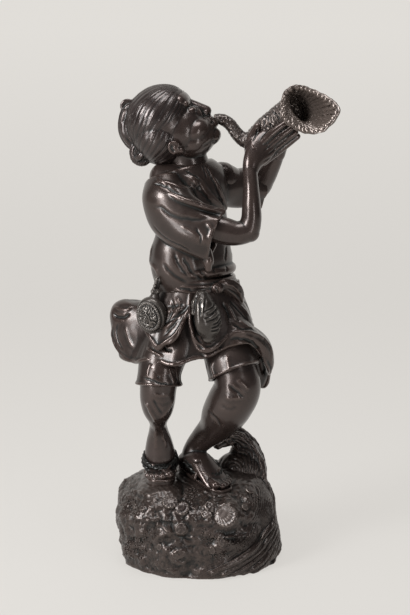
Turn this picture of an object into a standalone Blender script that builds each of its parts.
"""Cast bronze statue: a boy in a short jacket blows a shell horn, standing on a wave-washed rock.

Three castings, each one closed solid: the boy with the clothes and pouches cast on him, the open-mouthed
horn that he holds, and the rock that his sandals are seated on.

World frame in metres: +Z up, the origin in the middle of the rock's flat underside, and -Y towards the
side that the statue is looked at from. The boy's chest faces halfway between -Y and +X, his face +X.
"""

import math

import bpy
import numpy as np
from mathutils import Vector, noise

# Driving dimensions, in metres
FIGURE_HEIGHT = 0.500  # from the flat of the rock that he stands on to the crown of his head
ROCK_HEIGHT = 0.100  # from the table to that flat
ROCK_HALF_WIDTH = 0.098  # across the view
ROCK_HALF_DEPTH = 0.094  # along the view
FIT_GAP = 0.0004  # air left between two castings that touch
SEAT_MARGIN = 0.0050  # how far the flat cut for a sandal runs past the sandal
HORN_WALL = 0.0028  # metal at the rim of the horn's bell
CLOTH = 0.0042  # thickness of the hems

# The boy's free form is laid out in shares of his height: one share is a five-hundredth of it
SHARE = FIGURE_HEIGHT / 500.0
CHEST_TURN = math.radians(40.0)  # how far his chest turns from -Y towards +X
HEAD_TILT = math.radians(39.0)  # how far his head leans back
HEAD_TURN = math.radians(4.0)  # how far his face turns from +X towards -Y

# How finely the solids are cast
BOY_CELL = 2.0 * SHARE
BOY_FACES = 5500
ROCK_CELL = 0.0025
ROCK_FACES = 1800


# Directions of the body

FRONT = np.array([math.sin(CHEST_TURN), -math.cos(CHEST_TURN), 0.0])
LEFT = np.array([math.cos(CHEST_TURN), math.sin(CHEST_TURN), 0.0])
UP = np.array([0.0, 0.0, 1.0])
NEAR = np.array([0.0, -1.0, 0.0])
RIGHT_OF_VIEW = np.array([1.0, 0.0, 0.0])
FACE = np.array(
    [
        math.cos(HEAD_TILT) * math.cos(HEAD_TURN),
        -math.cos(HEAD_TILT) * math.sin(HEAD_TURN),
        math.sin(HEAD_TILT),
    ]
)
HEAD_LEFT = np.array([math.sin(HEAD_TURN), math.cos(HEAD_TURN), 0.0])
CROWN = np.cross(FACE, HEAD_LEFT)
HEAD_AXES = (HEAD_LEFT, FACE, CROWN)

BODY_AXIS = np.array([2.0, 0.0, 0.0])
HEAD_CENTRE = np.array([-39.0, -2.0, 450.0])


def body(left, front, up):
    """A point of the trunk, in shares, from its own left, front and up."""
    return BODY_AXIS + LEFT * left + FRONT * front + UP * up


def head(left, front, up):
    """A point of the head, in shares from its middle."""
    return HEAD_CENTRE + HEAD_LEFT * left + FACE * front + CROWN * up


# Modelling tools: every lump of clay is (points, faces) in shares


def curve(knots, rows, where):
    """Values at the places on a smooth curve through the rows, which stand at the knots."""
    t, r = np.asarray(knots, float), np.asarray(rows, float)
    slope = np.gradient(r, t, axis=0)
    i = np.clip(np.searchsorted(t, where, side="right") - 1, 0, len(t) - 2)
    span = (t[i + 1] - t[i])[:, None]
    u = (where - t[i])[:, None] / span
    return (
        r[i] * (2 * u**3 - 3 * u**2 + 1)
        + r[i + 1] * (3 * u**2 - 2 * u**3)
        + slope[i] * span * (u**3 - 2 * u**2 + u)
        + slope[i + 1] * span * (u**3 - u**2)
    )


def through(stations, where):
    """Values at the places 0 to 1 along a smooth curve through the stations, by the length of its chords."""
    s = np.asarray(stations, float)
    chord = np.maximum(np.linalg.norm(np.diff(s[:, :3], axis=0), axis=1), 1e-6)
    return curve(np.concatenate([[0.0], np.cumsum(chord)]) / chord.sum(), s, where)


def round_about(table, degrees):
    """Values at the degrees on a closed smooth curve through a table of (degrees, values...)."""
    t = np.asarray(sorted(table), float)
    turn = np.zeros(t.shape[1])
    turn[0] = 360.0
    t = np.concatenate([t - turn, t, t + turn])
    return curve(t[:, 0], t[:, 1:], np.mod(degrees, 360.0))


def unit(v):
    return v / np.maximum(np.linalg.norm(v, axis=-1, keepdims=True), 1e-9)


def skin(rings, start=None, end=None):
    """A closed lump over rings of points, with a pole at both ends, or round in a loop without poles."""
    count, around = rings.shape[:2]
    grid = np.arange(count * around).reshape(count, around)
    points = rings.reshape(-1, 3)
    rows = grid if start is not None else np.concatenate([grid, grid[:1]])
    a, b = rows[:-1], rows[1:]
    quads = np.stack([a, np.roll(a, -1, 1), np.roll(b, -1, 1), b], axis=-1)
    faces = [tuple(q) for q in quads.reshape(-1, 4)]
    if start is not None:
        points = np.concatenate([points, [start, end]])
        first, last = len(points) - 2, len(points) - 1
        faces += [(first, q, p) for p, q in zip(grid[0], np.roll(grid[0], -1))]
        faces += [(last, p, q) for p, q in zip(grid[-1], np.roll(grid[-1], -1))]
    return points, faces


def hoops(stations, side, rings=20, around=24, relief=None):
    """Rings of a limb, sleeve or cord through stations of (point, half width along side, half depth)."""
    s = np.array([(*p, *size) for p, *size in stations], float)
    along = np.linspace(0, 1, rings)
    v = through(s, along)
    centre, half = v[:, :3], np.maximum(v[:, 3:], 0.05)
    tangent = unit(np.gradient(centre, axis=0))
    across = unit(side - (tangent @ side)[:, None] * tangent)
    depth = np.cross(tangent, across)
    angle = np.linspace(0, 2 * math.pi, around, endpoint=False)
    offset = (
        across[:, None] * (half[:, :1] * np.cos(angle))[..., None]
        + depth[:, None] * (half[:, 1:] * np.sin(angle))[..., None]
    )
    if relief is not None:
        offset = offset * relief(along[:, None], angle[None, :])[..., None]
    return centre[:, None] + offset


def domed(rings, start=1.0, end=1.0):
    """A lump over the rings, each end rounded off by that share of its own radius."""
    caps, poles = [], []
    for ring, inner, dome in ((rings[0], rings[1], start), (rings[-1], rings[-2], end)):
        middle = ring.mean(axis=0)
        outward = unit(middle - inner.mean(axis=0))
        reach = outward * dome * np.linalg.norm(ring - middle, axis=1).mean()
        cap = [middle + reach * math.sin(a) + (ring - middle) * math.cos(a) for a in (0.45, 0.85, 1.2)]
        caps.append(cap if dome else [])
        poles.append(middle + reach)
    return skin(np.array([*caps[0][::-1], *rings, *caps[1]]), poles[0], poles[1])


def tube(stations, side, rings=20, around=24, relief=None):
    return domed(hoops(stations, side, rings, around, relief))


def cord(points, radius, rings=0):
    """A round cord through the points."""
    stations = [(p, radius, radius) for p in points]
    return tube(stations, np.array([0.31, 0.22, 0.92]), rings or 6 * len(points), 12)


def loop(centre, u, v, radius, turns=24, around=12):
    """A round cord that closes in an ellipse with half axes u and v."""
    a = np.linspace(0, 2 * math.pi, turns, endpoint=False)[:, None]
    path = centre + np.cos(a) * u + np.sin(a) * v
    along = unit(-np.sin(a) * u + np.cos(a) * v)
    normal = unit(np.cross(u, v))
    b = np.linspace(0, 2 * math.pi, around, endpoint=False)[None, :, None]
    out = np.cross(along, normal)[:, None]
    return skin(path[:, None] + radius * (np.cos(b) * out + np.sin(b) * normal))


def cup(rings, wall, deep):
    """A lump whose last ring is an open mouth, hollowed back as far as the ring that many from the last."""
    middle = rings.mean(axis=1)
    around = np.roll(rings, -1, axis=1) - np.roll(rings, 1, axis=1)
    inward = unit(np.cross(around, np.gradient(rings, axis=0)))
    inward *= np.sign((inward[0] * (middle[0] - rings[0])).sum())
    inner = (rings + inward * wall)[-deep:][::-1]
    return skin(np.concatenate([rings, inner]), 1.5 * middle[0] - 0.5 * middle[1], inner[-1].mean(axis=0))


def ball(centre, radii, axes=None, around=24):
    """An ellipsoid with its three half sizes along the rows of axes."""
    axes = np.eye(3) if axes is None else np.array(axes)
    polar = np.linspace(0, math.pi, around // 2 + 1)[1:-1, None]
    angle = np.linspace(0, 2 * math.pi, around, endpoint=False)[None, :]
    local = np.stack(
        [np.sin(polar) * np.cos(angle), np.sin(polar) * np.sin(angle), -np.cos(polar) + 0 * angle], axis=-1
    )
    place = np.asarray(radii, float)[:, None] * axes
    return skin(centre + local @ place, centre - place[2], centre + place[2])


def mesh_of(lumps, name):
    """One mesh of all the lumps, in metres, in the statue's frame."""
    points, faces, shift = [], [], 0
    for p, f in lumps:
        points.append(p)
        faces += [tuple(int(i) + shift for i in face) for face in f]
        shift += len(p)
    placed = np.concatenate(points) * SHARE + np.array([0, 0, ROCK_HEIGHT])
    mesh = bpy.data.meshes.new(name)
    mesh.from_pydata(placed.tolist(), [], faces)
    return mesh


def add_object(name, mesh):
    made = bpy.data.objects.new(name, mesh)
    bpy.context.scene.collection.objects.link(made)
    return made


def settle(made):
    """Replaces an object's mesh with the one that its modifiers make."""
    graph = bpy.context.evaluated_depsgraph_get()
    mesh = bpy.data.meshes.new_from_object(made.evaluated_get(graph))
    made.modifiers.clear()
    made.data = mesh
    return made


def fuse(name, lumps, cell, rounding, faces):
    """An object in which the lumps run together into one skin of about that many triangles."""
    made = add_object(name, mesh_of(lumps, name))
    remesh = made.modifiers.new("run together", "REMESH")
    remesh.mode = "VOXEL"
    remesh.voxel_size = cell
    smooth = made.modifiers.new("soften joins", "SMOOTH")
    smooth.factor = 0.5
    smooth.iterations = rounding
    settle(made)
    thin = made.modifiers.new("thin out", "DECIMATE")
    thin.ratio = faces / (2.0 * len(made.data.polygons))
    return settle(made)


def cut(made, lumps):
    """Cuts the lumps out of an object, one after the other."""
    for lump in lumps:
        tool = add_object("cutter", mesh_of([lump], "cutter"))
        taken = made.modifiers.new("cut", "BOOLEAN")
        taken.operation = "DIFFERENCE"
        taken.solver = "EXACT"
        taken.object = tool
        settle(made)
        bpy.data.objects.remove(tool)


# The horn: a curled tube, then a long body whose mouth flares towards the viewer

HORN_STATIONS = [
    ((20, -3, 455.5), 6, 6),
    ((29, -3, 456), 6.8, 6.8),
    ((38, -4, 451), 7.2, 7.2),
    ((47, -5, 440), 7.8, 7.8),
    ((55, -5.5, 432.5), 9, 9),
    ((64, -6, 431), 11.5, 11.5),
    ((73, -6.5, 436), 13, 13),
    ((83, -7.5, 444.5), 14.5, 14.5),
    ((95, -9, 453.5), 15.5, 15.5),
    ((107, -13, 462), 17, 17),
    ((116, -18, 467), 19, 19),
]
# The lip of the bell, a closed line of points
HORN_LIP = [
    (99, -41, 471),
    (100.5, -38, 485),
    (108, -35, 495),
    (121, -32, 498),
    (134, -34, 494.5),
    (148, -39, 488.5),
    (160, -45, 481.5),
    (169, -50, 471.5),
    (166, -53, 460),
    (158, -53, 450.5),
    (150, -52, 443.5),
    (140, -48, 440.5),
    (126, -45, 441.5),
    (113.5, -43, 447),
    (105, -43, 452.5),
    (100, -43, 460.5),
]
FLARE = (0.14, 0.28, 0.42, 0.56, 0.7, 0.85, 1.0)
FLARE_PUSH = 26.0  # how far the throat runs on before it opens
FLARE_ROLL = 20.0  # how strongly the lip rolls outwards


def horn_outside(extra=0.0, rings=18, around=20):
    """Rings from the mouthpiece to the lip of the bell."""
    pipe = hoops([(p, a + extra, b + extra) for p, a, b in HORN_STATIONS], NEAR, rings, around)
    throat = pipe[-1]
    middle = throat.mean(axis=0)
    lip = np.array(HORN_LIP, float)
    spread = lip - lip.mean(axis=0)
    plane = np.linalg.svd(spread)[2][2]
    plane = plane * np.sign(plane @ (lip.mean(axis=0) - middle))
    across = unit(throat[0] - middle - (throat[0] - middle) @ plane * plane)
    turn = np.degrees(np.arctan2(spread @ np.cross(plane, across), spread @ across)) % 360.0
    lip = round_about([(t, *p) for t, p in zip(turn, lip)], np.arange(around) * 360.0 / around)
    outward = unit(lip - lip.mean(axis=0))
    push = unit(middle - pipe[-2].mean(axis=0)) * FLARE_PUSH
    bell = [
        throat * (2 * w**3 - 3 * w**2 + 1)
        + (lip + outward * extra) * (3 * w**2 - 2 * w**3)
        + push * (w**3 - 2 * w**2 + w)
        + outward * FLARE_ROLL * (w**3 - w**2)
        for w in FLARE
    ]
    return np.concatenate([pipe, bell])


def horn():
    return cup(horn_outside(), HORN_WALL / SHARE, len(FLARE) + 5)


def horn_room():
    """The horn with the air that is kept round it."""
    rings = horn_outside(FIT_GAP / SHARE)
    return skin(rings, rings[0].mean(axis=0) - np.array([4, 0, 0]), rings[-1].mean(axis=0))


def on_horn(along, degrees, lift):
    """A point lifted off the horn's side: 0 degrees towards the viewer, 90 on top, -90 below, 180 behind."""
    v = through([(*p, *size) for p, *size in HORN_STATIONS], np.array([along, along + 0.01]))
    tangent = unit(v[1, :3] - v[0, :3])
    near = unit(NEAR - (tangent @ NEAR) * tangent)
    top = np.cross(near, tangent)
    top = top * np.sign(top[2])
    a = math.radians(degrees)
    return v[0, :3] + (near * math.cos(a) + top * math.sin(a)) * (v[0, 3] + lift)


# The boy, from the ground up

# Heel and toe of each sandal on the plane of its sole, and its half width
SOLES = {
    "right": ((-49, 18, 8), (-46, -57, 8), 20.5),
    "left": ((-20, 16, 11), (36, -52, -6), 19.5),
}
INSTEP = {"right": 0.0, "left": 6.0}  # how far the instep swells upwards


def foot_frame(side):
    """The heel, the way from it to the toe, its level direction and the level direction across it."""
    heel, toe = (np.array(v, float) for v in SOLES[side][:2])
    plan = unit((toe - heel) * np.array([1, 1, 0]))
    return heel, toe - heel, plan, np.cross(UP, plan)


def sole(side, grow, low, high):
    """A sandal's outline as a straight-sided lump, from low to high over the plane of its sole."""
    heel, way, plan, across = foot_frame(side)
    angle = np.linspace(0, 2 * math.pi, 28, endpoint=False)
    long = np.linalg.norm(way[:2]) / 2
    half = (SOLES[side][2] + grow) * (0.90 + 0.10 * np.cos(angle))
    aside = half * np.sign(np.sin(angle)) * np.abs(np.sin(angle)) ** 0.62
    ahead = (long + grow) * np.sign(np.cos(angle)) * np.abs(np.cos(angle)) ** 0.8
    rim = heel + way / 2 + plan * ahead[:, None] + across * aside[:, None]
    rim[:, 2] = heel[2] + way[2] / 2 + ahead * way[2] / (2 * long)
    ends = [rim + UP * low, rim + UP * high]
    return skin(np.array(ends), ends[0].mean(axis=0), ends[1].mean(axis=0))


def mound(side):
    """The swell of the rock under a sandal."""
    points, _ = sole(side, 2.5, -5.0, 2.0)
    top = points[28:56]
    middle = top.mean(axis=0)
    rings = [middle + (top - middle) * grow - UP * fall for grow, fall in ((1.9, 34), (1.5, 14), (1.2, 4), (1, 0))]
    return skin(np.array(rings), middle - UP * 30, middle)


def trousers():
    right = [
        (body(-12, 0, 205), 30, 32),
        ((-33, -20, 181), 29, 28.5),
        ((-45, -34, 158), 28, 27.5),
        ((-47.5, -41, 143), 27, 27.5),
        ((-48, -43, 132.5), 29, 29),
    ]
    left = [
        (body(12, 0, 205), 33, 35),
        ((31, -12, 187), 33, 33),
        ((38, -25, 171), 32, 32.5),
        ((41.5, -33, 158), 32, 32.5),
        ((45.5, -37, 147.5), 33.5, 34),
    ]
    legs = [cup(hoops(s, RIGHT_OF_VIEW, 18, 30), CLOTH / SHARE, 3) for s in (right, left)]
    return [*legs, ball(body(0, -4, 205), (50, 38, 40), (LEFT, FRONT, UP))]


def legs():
    right = [
        ((-46, -42, 150), 24, 25),
        ((-49, -43, 126), 22.5, 24),
        ((-49.5, -41, 112), 21.5, 23),
        ((-49.5, -37, 99), 18.5, 21),
        ((-49.5, -32, 89), 13.5, 17),
        ((-49.5, -27, 80), 10.8, 14.5),
        ((-49.5, -22, 69), 12, 14.5),
        ((-49, -17, 56), 15.5, 17),
        ((-48.5, -13, 42), 18.5, 20),
        ((-48, -10, 30), 20, 22),
        ((-48, -8, 22), 18, 19),
    ]
    left = [
        ((46, -35, 150), 27.5, 28),
        ((49, -39, 128), 29, 30),
        ((41, -33, 108), 29.5, 31),
        ((31, -21, 88), 27, 28),
        ((20.5, -10, 69), 20.5, 22),
        ((6.5, -2, 53), 15.8, 17),
        ((-2, 3, 41), 14.2, 15),
        ((-6, 4, 30), 14.8, 17),
        ((-7, 3, 18), 15.5, 18),
    ]
    return [tube(s, RIGHT_OF_VIEW, 34, 28) for s in (right, left)]


# Each toe from the big one: place aside, reach along the sandal and half thickness
TOES = ((10.5, 0.90, 6.6), (2.8, 0.94, 5.0), (-4.2, 0.92, 4.7), (-10.4, 0.89, 4.4), (-16, 0.84, 4.2))


def foot(side, inner, ankle):
    heel, way, plan, across = foot_frame(side)
    across = across * inner
    arch = [
        (heel + way * 0.14 + UP * 13, 15.5, 12),
        (heel + way * 0.36 + UP * (15 + INSTEP[side]), 16.5, 13),
        (heel + way * 0.60 + UP * (11 + 0.8 * INSTEP[side]), 18.5, 9),
        (heel + way * 0.80 + UP * 8, 19, 6),
    ]
    lumps = [sole(side, 0.0, -2.0, 6.0), tube(arch, across, 14, 24)]
    for aside, reach, thick in TOES:
        root = heel + way * 0.72 + across * aside * 0.9 + UP * 9
        tip = heel + way * reach + across * aside + UP * (6 + thick * 0.8)
        lumps.append(tube([(root, thick, thick), (tip, thick, thick * 0.8)], across, 6, 12))
    # the sandal's straps: round the ankle, over the instep and from between the toes
    middle, wide, long, sag = ankle
    lumps.append(loop(np.array(middle, float), across * wide, plan * long - UP * sag, 3.0))
    bridge = [(19, 8), (14, 20), (0, 27), (-14, 20), (-19, 8)]
    lumps.append(cord([heel + way * 0.56 + across * a + UP * b for a, b in bridge], 2.4))
    fork = heel + way * 0.80 + across * 7.5 + UP * 13
    for aside in (18, -18):
        over = heel + way * 0.66 + across * aside * 0.75 + UP * 19
        lumps.append(cord([fork, over, heel + way * 0.5 + across * aside + UP * 9], 2.2))
    return lumps


TRUNK = [
    (body(-2, 0, 190), 46, 38),
    (body(-3, 0, 225), 47, 40),
    (body(-4, 0, 250), 46, 39),
    (body(-8, -2, 266), 53, 42),
    (body(-10, -3, 285), 56, 43),
    (body(-8, -4, 315), 50, 38.5),
    (body(-10, -6, 350), 50, 36),
    (body(-8, -6, 376), 52, 34),
    (body(-9, -9, 389), 50, 32),
    (body(-12, -12, 397), 40, 27),
    (body(-13, -13, 402), 24, 19),
    (body(-13, -13, 403.5), 8, 7),
]


def on_trunk(degrees, height):
    """A point on the jacket: 0 degrees on his left, 90 in front, 180 on his right."""
    rows = np.array([(*middle, wide, deep) for middle, wide, deep in TRUNK])
    x, y, wide, deep = (np.interp(height, rows[:, 2], rows[:, k]) for k in (0, 1, 3, 4))
    a = math.radians(degrees)
    return np.array([x, y, height]) + LEFT * wide * math.cos(a) + FRONT * deep * math.sin(a)


def torso():
    neck = [(body(-6, -2, 380), 27, 25), ((-14, -3, 412), 24, 24), ((-24, -3, 436), 27, 27)]
    # the yoke of the jacket, which lies over the top of the sleeve
    yoke = [((-42, -12, 386), 18, 17), ((-27, -25, 384), 17, 15), ((-10, -32, 380), 13, 10)]
    return [tube(TRUNK, LEFT, 36, 40), tube(neck, LEFT, 10, 28), tube(yoke, UP, 14, 24)]


def arms():
    right = [
        ((-30, -34, 362), 22, 22),
        ((8, -56, 334), 17, 16),
        ((32, -60, 326), 14.5, 16.5),
        ((50, -60, 323.5), 14, 14.5),
        ((60, -59, 327), 14, 14),
        ((64, -58, 338), 13.5, 12.6),
        ((64.5, -57, 354), 13, 11.4),
        ((64, -51, 376), 11, 9.6),
        ((63, -42, 396), 9, 8.8),
    ]
    left = [
        ((30, 28, 380), 22, 22),
        ((52, 46, 372), 17, 17),
        ((67, 56, 366), 14.5, 14.5),
        ((77, 56, 367), 14, 14),
        ((84, 48, 379), 13.5, 13.5),
        ((91, 37, 394), 12, 12),
        ((98, 25, 411), 10, 10),
    ]
    elbow = ball((63.5, -59, 324), (11, 12, 11.5))
    return [tube(right, NEAR, 40, 24), tube(left, UP, 34, 24), elbow]


# The knuckle, bend and tip of each finger of the near hand
FINGERS = (
    ((72, -32, 424), (90, -31, 441), (105, -28.5, 452)),
    ((75, -30, 417), (94, -30, 433), (112, -28, 446)),
    ((78, -27, 411), (98, -26, 427), (118, -24, 441)),
    ((80, -22, 406), (101, -20, 421), (121, -17, 436)),
)


def near_hand():
    """Palm under the horn, fingers along it towards the bell, thumb up its near side."""
    fan = unit(np.array([0.60, -0.1, -0.79]))
    palm = [
        ((63, -42, 394), 9, 9),
        ((66, -38, 406), 12, 9.5),
        ((72, -33, 416), 16, 9),
        ((79, -28, 425), 17, 8.5),
        ((85, -26, 431), 15, 7),
    ]
    lumps = [tube(palm, fan, 16, 20)]
    for knuckle, bend, tip in FINGERS:
        lumps.append(tube([(knuckle, 5.2, 5), (bend, 4.7, 4.8), (tip, 3.9, 4.0)], fan, 14, 14))
    thumb = [
        ((65, -35, 410), 8, 7),
        ((63, -29, 424), 6.6, 6),
        ((66, -24, 437), 5.4, 5),
        ((72, -21, 448), 4.6, 4.2),
    ]
    return [*lumps, tube(thumb, fan, 14, 14)]


def far_hand():
    """Palm behind and below the horn, the fingers round its back."""
    palm = [((99, 24, 412), 10, 10), ((101, 17, 424), 13, 9), (on_horn(0.80, -140, 8), 14, 8)]
    lumps = [tube(palm, LEFT, 12, 18)]
    for k in range(4):
        at = 0.71 + 0.055 * k
        path = [on_horn(at + 0.03, -150, 6), on_horn(at + 0.01, 178, 4.4), on_horn(at - 0.01, 148, 3.2)]
        lumps.append(cord(path, 4.5 - 0.15 * k, 12))
    thumb = [(96, 22, 418), on_horn(0.60, -140, 5), on_horn(0.58, 170, 3.5)]
    return [*lumps, cord(thumb, 5, 12)]


def skull():
    def at(left, front, up, *radii):
        return ball(head(left, front, up), radii, HEAD_AXES)

    lumps = [
        at(0, -2, 4, 42, 43, 42),
        at(0, 9, -18, 38, 35, 36),
        at(0, 16, -38, 33, 29, 21),
        at(0, 34, -47, 15, 13, 10),
        at(0, 31, 10, 29, 13, 14),
        at(0, 38, -32, 20, 11, 14),
    ]
    for s in (-1, 1):
        lumps += [
            at(s * 14, 23, -30, 21.5, 21, 16),  # a cheek full of air
            at(s * 13, 14, -38, 21, 23, 18),
            at(s * 14, 36.5, 2.5, 12, 5, 4.6),  # brow
            at(s * 15.5, 34.5, -8, 9, 8, 6.5),  # closed eye
            at(s * 41, -5, -30, 4.5, 5.5, 8),  # ear
            at(s * 5, 47.5, -20.5, 3.8, 4.2, 3.4),  # side of the nose
        ]
        turn = np.linspace(-0.6, 4.0, 7)
        rim = [head(s * (43 + math.sin(a)), -5 - 6 * math.cos(a), -29.5 + 7.5 * math.sin(a)) for a in turn]
        lumps.append(cord(rim, 2.2, 24))
    nose = [(head(0, 41, 0), 4.4, 4.6), (head(0, 47, -11), 4.8, 5.4), (head(0, 52, -18.5), 5.6, 5.2)]
    lumps += [tube(nose, HEAD_LEFT, 8, 14), at(0, 38, -15, 13, 9, 13)]
    lumps.append(loop(head(0, 48.5, -33), HEAD_LEFT * 8.5, CROWN * 7, 3.6))
    return lumps


def hair():
    """A cap of combed hair, the bundle of tied locks behind it and the knot at the nape."""
    bundle = [
        ((-74, 0, 473), 7, 8),
        ((-82, -1, 466), 11, 10),
        ((-85, -1, 455), 14, 11),
        ((-84.5, -1, 442), 15, 11.5),
        ((-79, -1, 430), 13, 10),
        ((-72, -2, 424), 8, 8),
    ]
    return [
        ball(head(0, 0.5, 9.5), (44.5, 43.5, 39.5), HEAD_AXES, 36),
        ball(head(0, -13, -7), (43.5, 35, 37), HEAD_AXES, 36),
        tube(bundle, NEAR, 20, 24),
        loop(np.array([-85.5, -4, 472]), np.array([6.0, 0, -2]), np.array([2.0, 0, 5.5]), 2.8),
        ball((-67, -8, 417), (11.5, 13, 13)),
        loop(np.array([-68.0, -10, 416]), np.array([9.0, 0, 4]), np.array([-3.0, 0, 11]), 4.6),
        cord([(-55, -6, 430), (-64, -8, 432), (-72, -8, 424)], 7),
    ]


# Clothes: hems as (degrees round the body, reach, height, puff above it), with 0 on his left and 90 in front

LOWER_HEM = [
    (8, 87, 116, 4),
    (21, 90, 106, 7),
    (34, 95, 134, 11),
    (44, 92, 148, 13),
    (54, 88, 164, 14),
    (66, 84, 180, 13),
    (80, 80, 189, 10),
    (95, 72, 187, 6),
    (108, 66, 180, 3),
    (122, 64, 174, 0),
    (138, 67, 171, 0),
    (149, 73, 166, 0),
    (160, 77, 165, 0),
    (173, 81, 169, 0),
    (185, 84, 166, 0),
    (198, 86, 160, 0),
    (214, 92, 158, 0),
    (232, 98, 158, 0),
    (250, 88, 158, 0),
    (268, 77, 160, 0),
    (290, 72, 158, 0),
    (315, 74, 150, 0),
    (340, 80, 138, 2),
]
UPPER_HEM = [
    (20, 68, 204, 1),
    (45, 66, 203, 1),
    (62, 70, 203, 1),
    (78, 68, 204, 1),
    (92, 66, 204, 0),
    (103, 68, 194, 0),
    (113, 70.5, 186, 0),
    (124, 71, 182, 0),
    (132, 69, 187, 0),
    (137, 66, 205, 0),
    (140, 61, 228, 0),
    (142.5, 60, 234, 0),
    (145, 62, 226, 0),
    (149, 70, 208, 0),
    (155, 76, 195, 0),
    (163, 79, 190, 0),
    (170, 80.5, 183, 0),
    (178, 80, 194, 0),
    (190, 77, 202, 0),
    (215, 69, 204, 0),
    (250, 66, 202, 0),
    (290, 64, 204, 0),
    (330, 66, 206, 2),
]
# The blown-out tail of the jacket, as (reach, height) from the waist to the hem
TAIL = [
    (50, 258), (56, 244), (64, 233), (80, 227), (97, 229),
    (110, 223), (115, 211), (113, 192), (111, 175), (101, 161),
]  # fmt: skip
TAIL_DEGREES = 231.0
TAIL_SPREAD = 20.0
# The fold that bulges over his left knee, in the same way
FLAP = [
    (50, 258), (54, 234), (57, 214), (61, 201), (73, 194),
    (84, 186), (91, 176), (94, 164), (94, 150), (90, 139),
]  # fmt: skip
FLAP_DEGREES = 44.0
FLAP_SPREAD = 20.0


def skirt(hem, top, left, front, spread, waves, blown=(), rings=18, around=120):
    """A hanging sheet of cloth round the body, from a waist of those half sizes at the top height to the hem."""
    degrees = np.arange(around) * 360.0 / around
    a = np.radians(degrees)
    reach, height, puff = round_about(hem, degrees).T
    waist = 1.0 / np.hypot(np.cos(a) / left, np.sin(a) / front)
    s = np.linspace(0, 1, rings)[:, None]
    r = waist * (1 - s**spread) + reach * s**spread + puff * np.sin(math.pi * s**3)
    z = top + (height - top) * s
    for rows, middle, breadth in blown:
        share = np.exp(-(((degrees - middle) / breadth) ** 2))
        profile = through([(*row, 0) for row in rows], s[:, 0])
        r = r + (profile[:, :1] - r) * share
        z = z + (profile[:, 1:2] - z) * share
    r = r + waves * s * np.cos(11 * a + 2.0 * s)
    plan = LEFT * (r * np.cos(a))[..., None] + FRONT * (r * np.sin(a))[..., None]
    outer = BODY_AXIS + plan + UP * z[..., None]
    along = np.roll(outer, -1, axis=1) - np.roll(outer, 1, axis=1)
    inward = unit(np.cross(np.gradient(outer, axis=0), along))
    return skin(np.concatenate([outer, (outer + inward * CLOTH / SHARE)[::-1]]))


def gathers(along, angle):
    """Folds that deepen towards the hem of a sleeve."""
    return 1 + 0.07 * along**3 * np.cos(7 * angle + 1.0) + 0.03 * np.cos(3 * angle + 9 * along)


def sleeves():
    right = [
        ((-40, -22, 382), 25, 24),
        ((-37, -34, 360), 35, 29),
        ((-18, -49, 337), 34, 26),
        ((3, -58, 324), 31, 23),
        ((22, -63, 318), 31, 20),
    ]
    left = [((29, 26, 377), 24, 24), ((48, 40, 373), 26, 25), ((63, 50, 369), 27, 23)]
    tip = [((10, -62, 300), 9, 7), ((13, -67, 288), 8, 6), ((13, -67, 281), 4, 4)]
    return [
        cup(hoops(right, UP, 22, 40, gathers), CLOTH / SHARE, 4),
        cup(hoops(left, UP, 14, 32, gathers), CLOTH / SHARE, 4),
        tube(tip, UP, 8, 16),
        cord([(-40, -58, 373), (-20, -70, 366), (6, -70, 357), (30, -61, 349)], 4, 20),
    ]


# The bands of the neck as (degrees round the trunk, height), down to where they cross
NEAR_BAND = ((120, 398), (103, 386), (90, 366), (76, 356), (60, 346))
FAR_BAND = ((78, 398), (77, 383), (62, 361), (50, 347))


def collar():
    """The two bands of the jacket's neck, which cross low on the chest."""
    nape = body(-14, -35, 398)
    right = [nape, body(-40, -16, 401)] + [on_trunk(*at) for at in NEAR_BAND]
    left = [nape, body(14, -18, 401)] + [on_trunk(*at) for at in FAR_BAND]
    return [tube([(p, 5.5, 2.8) for p in band], LEFT, 40, 14) for band in (right, left)]


def sash():
    lumps = []
    for height, grow in ((259, 0.5), (253, 1.5)):
        middle = BODY_AXIS - LEFT * 4 + UP * height
        lumps.append(loop(middle, LEFT * (48 + grow), FRONT * (41 + grow), 4.2, 48))
    # the jacket blouses over it
    lumps.append(loop(BODY_AXIS - LEFT * 6 + UP * 272, LEFT * 48, FRONT * 38, 6.5, 48))
    bow = [
        ((23, -43, 256), 4, 4),
        ((32, -40, 257), 8.5, 5),
        ((42, -33, 252), 10.5, 5.5),
        ((49, -26, 241), 9, 5),
        ((51, -22, 229), 4, 4),
    ]
    lumps.append(tube(bow, unit(np.array([0.55, -0.1, 0.83])), 18, 18))
    return [*lumps, ball((24, -44, 254), (8, 7, 7))]


def pouches():
    """A round netted pouch on a cord with its toggle, and a gathered pouch in front."""
    neck = [((-53, -46, 240), 8, 7), ((-51, -43, 249), 4, 4), ((-48, -37, 262), 3, 3)]
    axes = [unit(np.array(v)) for v in ((0.9, -0.35, 0.12), (-0.35, -0.93, 0.0), (-0.12, 0.0, 0.99))]
    leaf = [
        ((7, -62, 248), 8, 6),
        ((9, -66, 238), 14, 9),
        ((12, -68, 223), 18.5, 11),
        ((14, -68, 208), 16.5, 10),
        ((14, -67, 198), 9, 6),
    ]
    return [
        ball((-56, -48, 221), (19.5, 14, 23.5), axes),
        tube(neck, LEFT, 8, 14),
        ball((-51, -44, 250), (6.5, 5, 4)),
        ball((-48, -36, 263), (5, 5, 6)),
        tube(leaf, unit(LEFT - 0.25 * UP), 20, 28),
        ball((-1, -64, 237), (7, 6, 9)),
        cord([(2, -60, 250), (-2, -62, 242), (-4, -65, 228)], 4),
    ]


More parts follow.
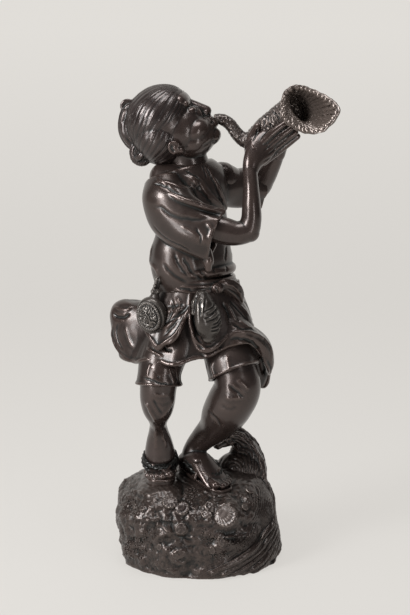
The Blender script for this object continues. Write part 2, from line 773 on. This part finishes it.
def boy():
    lumps = [*trousers(), *legs()]
    lumps += foot("right", 1, ((-48, -16, 33), 22.5, 25, 8))
    lumps += foot("left", -1, ((6, -12, 23), 20.5, 30, 8))
    lumps += [*torso(), *arms(), *near_hand(), *far_hand(), *skull(), *hair()]
    blown = ((TAIL, TAIL_DEGREES, TAIL_SPREAD), (FLAP, FLAP_DEGREES, FLAP_SPREAD))
    lumps += [
        skirt(LOWER_HEM, 256, 46, 39, 1.35, 1.6, blown),
        skirt(UPPER_HEM, 258, 49, 41, 0.85, 0.9, around=160),
        *sleeves(),
        *collar(),
        *sash(),
        *pouches(),
    ]
    made = fuse("boy", lumps, BOY_CELL, 1, BOY_FACES)
    cut(made, [horn_room(), sole("right", 6.0, -9.0, 0.0), sole("left", 6.0, -9.0, 0.0)])
    return made


# The rock: its profile as (height, factor on the half width, factor on the half depth, shift along X)

ROCK_PROFILE = [
    (-108, 0.98, 0.98, 0),
    (-90, 1.01, 1.01, 0),
    (-70, 1.03, 1.03, -2),
    (-50, 1.01, 1.03, -4),
    (-32, 1.00, 1.02, -4),
    (-20, 0.97, 1.00, -4),
    (-11, 0.90, 0.96, -3),
    (-4, 0.82, 0.90, -2),
    (2, 0.68, 0.80, -2),
    (5, 0.48, 0.60, -2),
    (6.5, 0.20, 0.25, -2),
]
# Shells and crust on its near side, as (degrees, height, half size)
SHELLS = ((-76, -22, 15), (-101, -14, 12), (-98, -42, 8), (-88, -62, 7), (-104, -80, 9), (-72, -70, 8))


def on_rock(degrees, height, lift=0.0):
    """A point of the rock's rough side: 0 degrees towards +X, -90 towards the viewer."""
    profile = np.array(ROCK_PROFILE)
    wide, deep, shift = curve(profile[:, 0], profile[:, 1:], np.array([float(height)]))[0]
    a = math.radians(degrees)
    p = Vector((math.cos(a) * wide, math.sin(a) * deep, height / 100.0))
    rough = 1.0 + 0.045 * noise.noise(p * 2.2) + 0.035 * noise.noise(p * 5.5 + Vector((3, 1, 7)))
    rough /= (abs(math.cos(a)) ** 2.3 + abs(math.sin(a)) ** 2.3) ** (1 / 2.3)
    half = np.array([ROCK_HALF_WIDTH * wide, ROCK_HALF_DEPTH * deep]) / SHARE * rough + lift
    return np.array([half[0] * math.cos(a) + shift, half[1] * math.sin(a), height])


def strands(along, angle):
    """Ridges that twist along a stream of water."""
    return 1 + 0.10 * np.cos(5 * angle + 5 * along)


def wave():
    """The wave that rises from the right of the rock and curls over behind his calf."""
    arch = [
        ((78, 26, -60), 14, 13),
        ((77, 32, -25), 16, 14),
        ((76, 38, -2), 17, 14),
        ((71, 42, 18), 17, 13),
        ((62, 43, 34), 13.5, 11.5),
        ((49, 40, 44.5), 11, 11),
        ((36, 34, 41), 9.5, 9.5),
        ((25, 27, 36), 6, 6),
    ]
    fill = [ball((54, 36, -5), (33, 24, 30)), ball((58, 40, 20), (17, 12, 18))]
    return [tube(arch, NEAR, 40, 30, strands), *fill]


def run_off():
    """Water that runs down the right of the rock and round its foot."""
    lumps = []
    for k in range(7):
        path = [
            on_rock(20 - (100 - 8 * k) * t**1.3, (8 - 9 * k) + (-98 + 6 * k) * t**0.8, 0.5)
            for t in np.linspace(0, 1, 9)
        ]
        lumps.append(cord(path, 3.6, 40))
    return lumps


def rock():
    heights = np.linspace(-106, 6.5, 46)
    rings = np.array([[on_rock(a, z) for a in np.arange(0, 360, 5)] for z in heights])
    # the top falls away towards the viewer
    ahead = np.clip((-rings[..., 1] - 15) / 55, 0, 1)
    upper = np.clip((rings[..., 2] + 45) / 45, 0, 1)
    rings[..., 2] -= 10 * ahead**2 * (3 - 2 * ahead) * upper**2 * (3 - 2 * upper)
    lumps = [skin(rings, np.array([0, 0, -106.0]), np.array([0, 0, 7.0])), *wave(), *run_off()]
    lumps += [mound(side) for side in SOLES]
    for degrees, height, r in SHELLS:
        place = on_rock(degrees, height, 1.0)
        out = unit(place * np.array([1, 1, 0.2]))
        across = unit(np.cross(UP, out))
        lumps.append(ball(place, (r, r * 0.8, r * 0.4), (across, np.cross(out, across), out)))
    made = fuse("rock", lumps, ROCK_CELL, 1, ROCK_FACES)
    corners = np.array([(-200, -200, 0), (200, -200, 0), (200, 200, 0), (-200, 200, 0)], float)
    table = -ROCK_HEIGHT / SHARE
    below = skin(np.array([corners + UP * (table - 60), corners + UP * table]), UP * (table - 60), UP * table)
    gap, margin = FIT_GAP / SHARE, SEAT_MARGIN / SHARE
    cut(made, [below, sole("right", margin, -gap, 60.0), sole("left", margin, -gap, 30.0)])
    return made


def bronze(made):
    paint = bpy.data.materials.new("dark bronze")
    paint.use_nodes = True
    shader = paint.node_tree.nodes["Principled BSDF"]
    shader.inputs["Base Color"].default_value = (0.045, 0.036, 0.033, 1.0)
    shader.inputs["Metallic"].default_value = 0.85
    shader.inputs["Roughness"].default_value = 0.34
    made.data.materials.clear()
    made.data.materials.append(paint)


def main():
    for old in list(bpy.data.objects):
        bpy.data.objects.remove(old)
    for made in (boy(), rock(), add_object("horn", mesh_of([horn()], "horn"))):
        bronze(made)


main()
